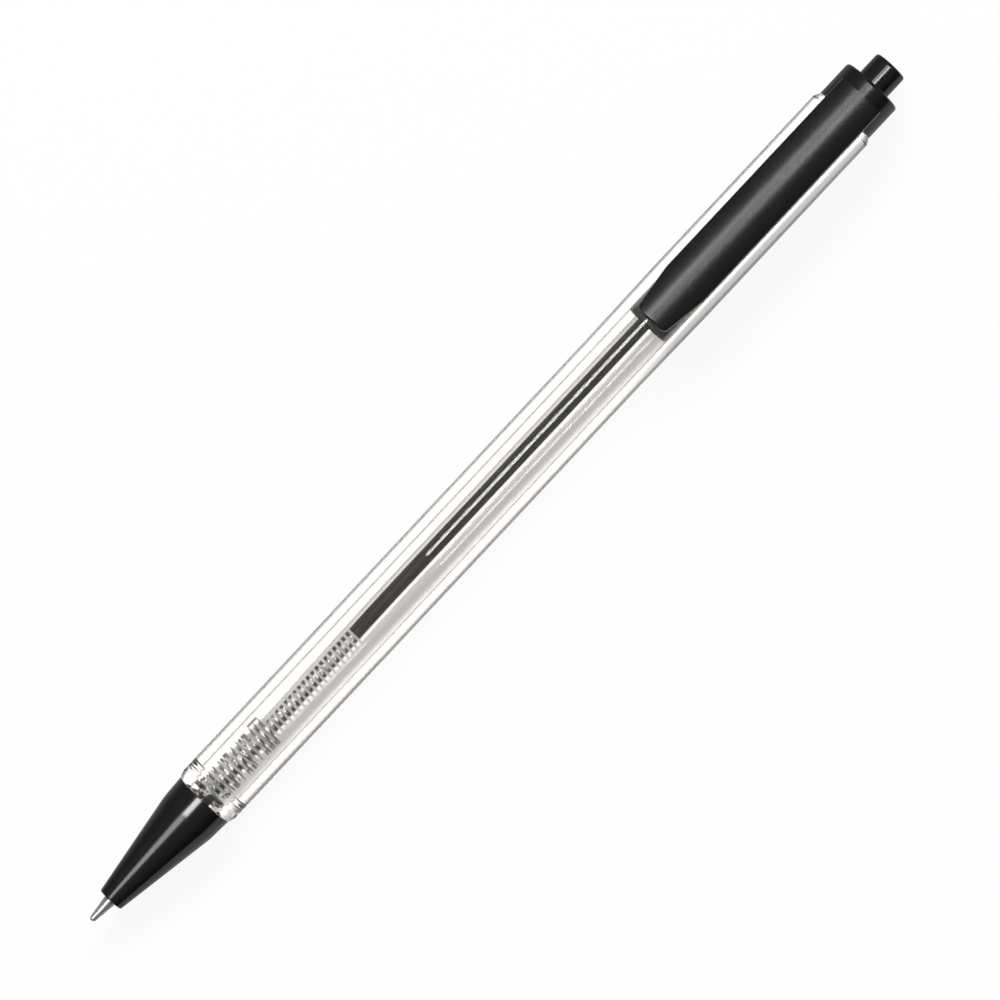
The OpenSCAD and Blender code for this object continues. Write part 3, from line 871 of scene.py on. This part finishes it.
def fill_ear(bm, side):
    """Crimped ear on one side of the tube: square towards the spring, sloping away from it."""
    foot = TUBE_R - EAR_FOOT
    outline = rounded([(EAR_START, foot, 0), (EAR_START, EAR_R, SOFT),
                       (EAR_START + EAR_FLAT, EAR_R, EAR_ROUND), (EAR_START + EAR_LEN, foot, 0)])
    rings = []
    for height in (-EAR_T / 2, EAR_T / 2):
        ring = []
        for s, r in outline:
            x, y = TIP_X + s * MM, (side * r + lean(EAR_START)) * MM
            ring.append(bm.verts.new((x, y, AXIS_Z + height * MM)))
        rings.append(ring)
    skin_bar(bm, rings)


tube_stations = stepped(TUBE_START, TUBE_END)
tube_outline = [(s, TUBE_R) for s in tube_stations] + [(s, INK_R) for s in reversed(tube_stations)]
ears = [smooth_object(f"ear_{side}", lambda bm: fill_ear(bm, side)) for side in (-1, 1)]
tube = unite(lathe("ink_tube", tube_outline, lean, TUBE_SIDES), *ears)
dress(tube, refill_plastic, "refill", "refill_plastic", "refill_tube")

# %% Ink
WET, INK_SIDES = 0.004, 64
ink_wall = [(s, INK_R + WET) for s in stepped(INK_START, INK_END)]
ink_outline = [(INK_START, 0.0)] + ink_wall + [(INK_END, 0.0)]
dress(lathe("ink", ink_outline, lean, INK_SIDES), black_ink, "refill", "black_ink", "ink_column")

# %% Metal tip
BALL_R, BALL_CLEAR = widest("writing_ball"), 0.01
LIP, LIP_ROUND, SHANK_R, TIP_CONE_END, TIP_CONE_ROUND = 0.05, 0.02, 1.15, 6.0, 0.3
SEAT_STEPS, TIP_SIDES = 12, 96
seat_r, shank_end = BALL_R + BALL_CLEAR, TUBE_START - GAP
mouth_r = math.sqrt(seat_r ** 2 - (BALL_R - TIP_START) ** 2)
mouth_turn = math.acos((TIP_START - BALL_R) / seat_r)
seat = []
for k in range(SEAT_STEPS):
    turn = mouth_turn * k / SEAT_STEPS
    seat.append((BALL_R + seat_r * math.cos(turn), seat_r * math.sin(turn)))
tip_wall = rounded([
    (TIP_START, mouth_r, 0), (TIP_START, mouth_r + LIP, LIP_ROUND),
    (TIP_CONE_END, SHANK_R, TIP_CONE_ROUND), (shank_end, SHANK_R, CRISP), (shank_end, INK_R, 0),
    (TIP_END, INK_R, 0), (TIP_END, 0.0, 0),
])
tip_outline = tip_wall + seat
dress(lathe("metal_tip", tip_outline, sides=TIP_SIDES), tip_metal, "refill", "tip_metal", "pen_tip")

# %% Writing ball
BALL_STEPS, BALL_SIDES = 24, 48
ball_turns = [math.pi * k / BALL_STEPS for k in range(BALL_STEPS + 1)]
ball_outline = [(BALL_R * (1 - math.cos(turn)), BALL_R * math.sin(turn)) for turn in ball_turns]
ball = lathe("rolling_ball", ball_outline, sides=BALL_SIDES)
dress(ball, ball_metal, "ball", "ball_metal", "writing_ball")

# %% [markdown]
# ## Return spring
# The spring is one wire wound into 21 turns, closer together at both ends, and its last bit is bent back
# along the coil. A screw modifier could wind an even coil, but a sweep in code takes the changing pitch and
# the bent end too. The spring gets longer when the tip goes in, but here its mesh is made once, at rest, and
# no body carries it.

# %% Spring
WIRE_R, SPRING_TURNS, END_TURNS, END_PITCH = 0.16, 21, 2, 0.78
COIL_R = half_sizes("return_spring")[0] - WIRE_R
COIL_RINGS, WIRE_SIDES = 40, 12
TAIL_LEN, TAIL_BEND, TAIL_OUT, TAIL_STEPS = 1.3, 0.3, 0.37, 8
ALONG, ASIDE = Vector((1, 0, 0)), Vector((0, 1, 0))


def wire_station(turns):
    """Station of the wire's centre after a number of turns."""
    open_turns = SPRING_TURNS - 2 * END_TURNS
    open_pitch = (SPRING_END - SPRING_START - 2 * WIRE_R - 2 * END_TURNS * END_PITCH) / open_turns
    closed = min(turns, END_TURNS) + max(turns - SPRING_TURNS + END_TURNS, 0)
    opened = min(max(turns - END_TURNS, 0), open_turns)
    return SPRING_START + WIRE_R + closed * END_PITCH + opened * open_pitch


def wire_ring(bm, centre, lengthwise, outward):
    """Ring of vertices around the wire, in the plane of two directions."""
    turns = [math.tau * k / WIRE_SIDES for k in range(WIRE_SIDES)]
    around = [lengthwise * math.sin(turn) + outward * math.cos(turn) for turn in turns]
    return [bm.verts.new(centre + way * WIRE_R * MM) for way in around]


def fill_spring(bm):
    """Round wire swept along the coil and around its bent end, closed at both ends."""
    rings = []
    for i in range(SPRING_TURNS * COIL_RINGS + 1):
        turns = i / COIL_RINGS
        turn = math.pi / 2 + math.tau * turns
        outward = Vector((0, math.sin(turn), math.cos(turn)))
        rings.append(wire_ring(bm, on_pen(wire_station(turns), COIL_R, turn), ALONG, outward))
    last = on_pen(wire_station(SPRING_TURNS), COIL_R, math.pi / 2)
    for step in range(1, TAIL_STEPS + 2):
        bend = math.pi / 2 * min(step / TAIL_STEPS, 1.0)
        back = TAIL_BEND * (1 - math.cos(bend)) + (TAIL_LEN if step > TAIL_STEPS else 0.0)
        middle = last + Vector((-back, TAIL_OUT * math.sin(bend) ** 2, -TAIL_BEND * math.sin(bend))) * MM
        rings.append(wire_ring(bm, middle, Vector((math.cos(bend), 0, -math.sin(bend))), ASIDE))
    skin_bar(bm, rings)


spring = smooth_object("coil_spring", fill_spring)
dress(spring, spring_steel, None, "spring_steel", "return_spring")
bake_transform(spring)

# %% [markdown]
# ## Camera
# The photograph looks almost straight down on the clip, with the pen lying across the frame at 47 degrees.
# A long lens far away keeps the pen's edges parallel, as they are there.

# %% Camera
PEN_ANGLE = math.radians(46.89)
CAMERA_TILT = math.radians(1.8)
CAMERA_DISTANCE = 0.76
CAMERA_LENS, SENSOR_WIDTH = 227.5, 36
LOOK_AT = Vector((0.00012, -0.00134, AXIS_Z))

camera_data = bpy.data.cameras.new("camera")
camera_data.lens, camera_data.sensor_width = CAMERA_LENS, SENSOR_WIDTH
camera = bpy.data.objects.new("camera", camera_data)
bpy.context.scene.collection.objects.link(camera)
bpy.context.scene.camera = camera
backward = Vector((0, -math.sin(CAMERA_TILT), math.cos(CAMERA_TILT)))
sideways = Vector((0, math.cos(CAMERA_TILT), math.sin(CAMERA_TILT)))
right = Vector((math.cos(PEN_ANGLE), 0, 0)) - sideways * math.sin(PEN_ANGLE)
up = Vector((math.sin(PEN_ANGLE), 0, 0)) + sideways * math.cos(PEN_ANGLE)
turned = Matrix((right, up, backward)).transposed().to_4x4()
camera.matrix_world = Matrix.Translation(LOOK_AT + backward * CAMERA_DISTANCE) @ turned
print("camera at", tuple(round(c, 3) for c in camera.location))

# %% [markdown]
# ## Table and surroundings
# Clear plastic is drawn by what stands behind and around it. A white table seen through the barrel makes it
# bright, and surroundings that darken towards the horizon, together with the painted shade on the plastic's
# edges, draw thin dark lines along its edges. The table glows, but only for the rays of the camera and of
# reflections, so that it looks white and still takes the pen's shadow. In reflections the glow is strong
# on the -Y side and weak on the +Y side: a painted reflection that lightens the black parts' edges on the
# -Y side. Rays that went through the plastic see a warm light grey table that the lamps light, so the shadow
# shows in there too. The surroundings are white for the camera and partly so for those rays.

# %% Table
TABLE_SIZE, TABLE_ROUGHNESS = 4.0, 0.9
TABLE_GREY, TABLE_GREY_THROUGH, TABLE_WARMTH = 0.05, 0.69, 0.06
TABLE_GLOW = 0.93
GLOW_NEAR, GLOW_FAR, GLOW_REACH = 0.75, 0.1, 0.03

table_material, table_tree, table_shader = new_material("white_table")
set_inputs(table_shader, {
    "Roughness": TABLE_ROUGHNESS, "Specular IOR Level": 0.0, "Emission Color": grey(1.0)})
table_path = add(table_tree, "ShaderNodeLightPath")
table_grey = add(table_tree, "ShaderNodeMix", data_type="RGBA")
table_grey.inputs["A"].default_value = grey(TABLE_GREY)
table_grey.inputs["B"].default_value = grey(TABLE_GREY_THROUGH, TABLE_WARMTH)
glow_seen = add(table_tree, "ShaderNodeMath", operation="MULTIPLY")
glow_seen.inputs[1].default_value = TABLE_GLOW
glow_all = add(table_tree, "ShaderNodeMath", operation="MULTIPLY_ADD")
table_place = add(table_tree, "ShaderNodeTexCoord")
table_split = add(table_tree, "ShaderNodeSeparateXYZ")
# Painted reflection: in reflections the table glows more on the -Y side than on the +Y side.
side_reflection_glow = add(table_tree, "ShaderNodeMapRange")
set_inputs(side_reflection_glow, {
    "From Min": -GLOW_REACH, "From Max": GLOW_REACH, "To Min": GLOW_NEAR, "To Max": GLOW_FAR})
link = table_tree.links.new
link(table_path.outputs["Is Transmission Ray"], table_grey.inputs["Factor"])
link(table_grey.outputs["Result"], table_shader.inputs["Base Color"])
link(table_path.outputs["Is Camera Ray"], glow_seen.inputs[0])
link(table_place.outputs["Object"], table_split.inputs["Vector"])
link(table_split.outputs["Y"], side_reflection_glow.inputs["Value"])
link(side_reflection_glow.outputs["Result"], glow_all.inputs[1])
link(table_path.outputs["Is Glossy Ray"], glow_all.inputs[0])
link(glow_seen.outputs["Value"], glow_all.inputs[2])
link(glow_all.outputs["Value"], table_shader.inputs["Emission Strength"])
bpy.ops.mesh.primitive_plane_add(size=TABLE_SIZE)
table = bpy.context.object
table.name = "table"
table.data.materials.append(table_material)
print(f"{table.name}: {TABLE_SIZE:.0f} m wide, {table_material.name}")

# %% Surroundings
WORLD_LIGHT, WORLD_THROUGH = 0.22, 0.28
BRIGHT_SIDE, BRIGHT_FROM = (0.0, 0.2, 0.98), 0.7
HORIZON_COLOUR, OVERHEAD_COLOUR = grey(0.1), (1.0, 0.97, 0.92, 1)

surroundings = bpy.data.worlds.new("surroundings")
bpy.context.scene.world = surroundings
surroundings.use_nodes = True
world_tree = surroundings.node_tree
world_tree.nodes.clear()
world_out = add(world_tree, "ShaderNodeOutputWorld")
world_mix = add(world_tree, "ShaderNodeMixShader")
white = add(world_tree, "ShaderNodeBackground")
set_inputs(white, {"Color": grey(1.0)})
dim = add(world_tree, "ShaderNodeBackground")
set_inputs(dim, {"Strength": WORLD_LIGHT})
direction = add(world_tree, "ShaderNodeTexCoord")
toward = add(world_tree, "ShaderNodeVectorMath", operation="DOT_PRODUCT")
toward.inputs[1].default_value = BRIGHT_SIDE
ramp = add(world_tree, "ShaderNodeValToRGB")
low_stop, high_stop = ramp.color_ramp.elements
low_stop.color, low_stop.position = HORIZON_COLOUR, 0.0
high_stop.color, high_stop.position = OVERHEAD_COLOUR, BRIGHT_FROM
world_path = add(world_tree, "ShaderNodeLightPath")
seen = add(world_tree, "ShaderNodeMath", operation="MULTIPLY_ADD")
seen.inputs[1].default_value = WORLD_THROUGH
link = world_tree.links.new
link(direction.outputs["Generated"], toward.inputs[0])
link(toward.outputs["Value"], ramp.inputs["Fac"])
link(ramp.outputs["Color"], dim.inputs["Color"])
link(world_path.outputs["Is Transmission Ray"], seen.inputs[0])
link(world_path.outputs["Is Camera Ray"], seen.inputs[2])
link(seen.outputs["Value"], world_mix.inputs["Fac"])
link(dim.outputs["Background"], world_mix.inputs[1])
link(white.outputs["Background"], world_mix.inputs[2])
link(world_mix.outputs["Shader"], world_out.inputs["Surface"])
print("world:", surroundings.name)

# %% [markdown]
# ## Lamps
# One large soft lamp gives the light and the shadow, and nothing mirrors it. Each long highlight on the
# black plastic is the mirror image of a strip of its own, which lights nothing else. So a highlight can be
# moved to its place without changing the rest of the light.

# %% Lamps
KEY_DISTANCE, STRIP_DISTANCE = 1.1, 0.9


def lamp(name, lean_x, lean_y, size, watts, distance=STRIP_DISTANCE, turn=0, mirrored=True):
    """Soft lamp that leans from straight above by two angles, turned about its own axis, facing the pen."""
    data = bpy.data.lights.new(name, "AREA")
    data.shape, data.size, data.size_y, data.energy = "RECTANGLE", size[0], size[1], watts
    piece = bpy.data.objects.new(name, data)
    bpy.context.scene.collection.objects.link(piece)
    away = Vector((math.tan(math.radians(lean_x)), math.tan(math.radians(lean_y)), 1)).normalized()
    long_way = Vector((math.cos(math.radians(turn)), math.sin(math.radians(turn)), 0))
    side = (long_way - away * away.dot(long_way)).normalized()
    facing = Matrix((side, away.cross(side), away)).transposed().to_4x4()
    piece.matrix_world = Matrix.Translation(Vector((0, 0, AXIS_Z)) + away * distance) @ facing
    piece.visible_camera = False
    piece.visible_glossy = piece.visible_transmission = mirrored
    piece.visible_diffuse = not mirrored


lamp("key", lean_x=28, lean_y=35, size=(1.3, 0.38), watts=20.8, distance=KEY_DISTANCE, mirrored=False)
lamp("strip_over_clip", lean_x=5, lean_y=14, size=(0.2, 0.1), watts=0.85)
lamp("strip_over_cone", lean_x=-25, lean_y=14.2, size=(0.2, 0.3), watts=1.25, turn=-20)
lamp("strip_over_band", lean_x=-11, lean_y=11.7, size=(0.14, 0.3), watts=3.0)
lamp("strip_over_button", lean_x=10, lean_y=0.2, size=(0.05, 0.16), watts=0.85)

# %% [markdown]
# ## Finish
# Colours are shown as they are written, without a film look.

# %% Colour handling
bpy.context.scene.view_settings.view_transform = "Standard"
